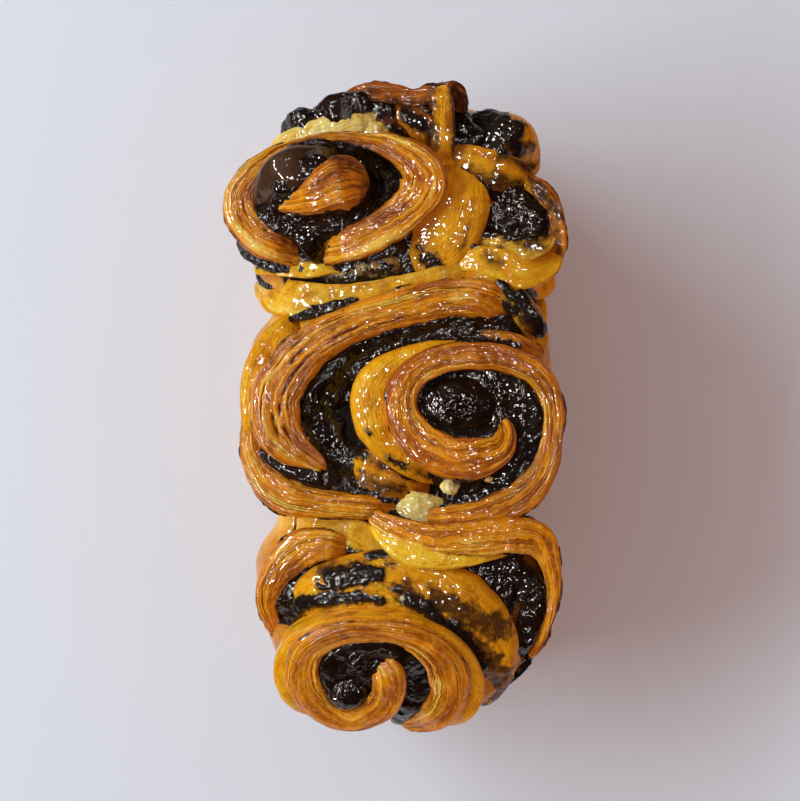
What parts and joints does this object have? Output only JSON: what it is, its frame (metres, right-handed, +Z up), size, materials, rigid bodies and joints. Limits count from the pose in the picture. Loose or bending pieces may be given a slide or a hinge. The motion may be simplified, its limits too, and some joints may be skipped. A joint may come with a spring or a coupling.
{
  "type": "chocolate brioche loaf",
  "caption": "Tin-baked loaf of laminated dough rolls with their cut spiral faces up, dark chocolate filling showing between the dough bands, and a flat base to stand on.",
  "frame": {"origin": "centre of the flat base, on the surface that the loaf rests on", "axes": "+Y along the loaf towards the end with the ragged crest, +X across the loaf with the middle roll's core on the +X side, +Z up"},
  "size_m": [0.1112, 0.209, 0.084],
  "materials": {
    "crust": "golden baked crust with a thin syrup glaze",
    "chocolate": "baked dark chocolate filling, glossy and lumpy"
  },
  "bodies": {
    "root": {"brioche_loaf": "crust"}
  },
  "joints": []
}
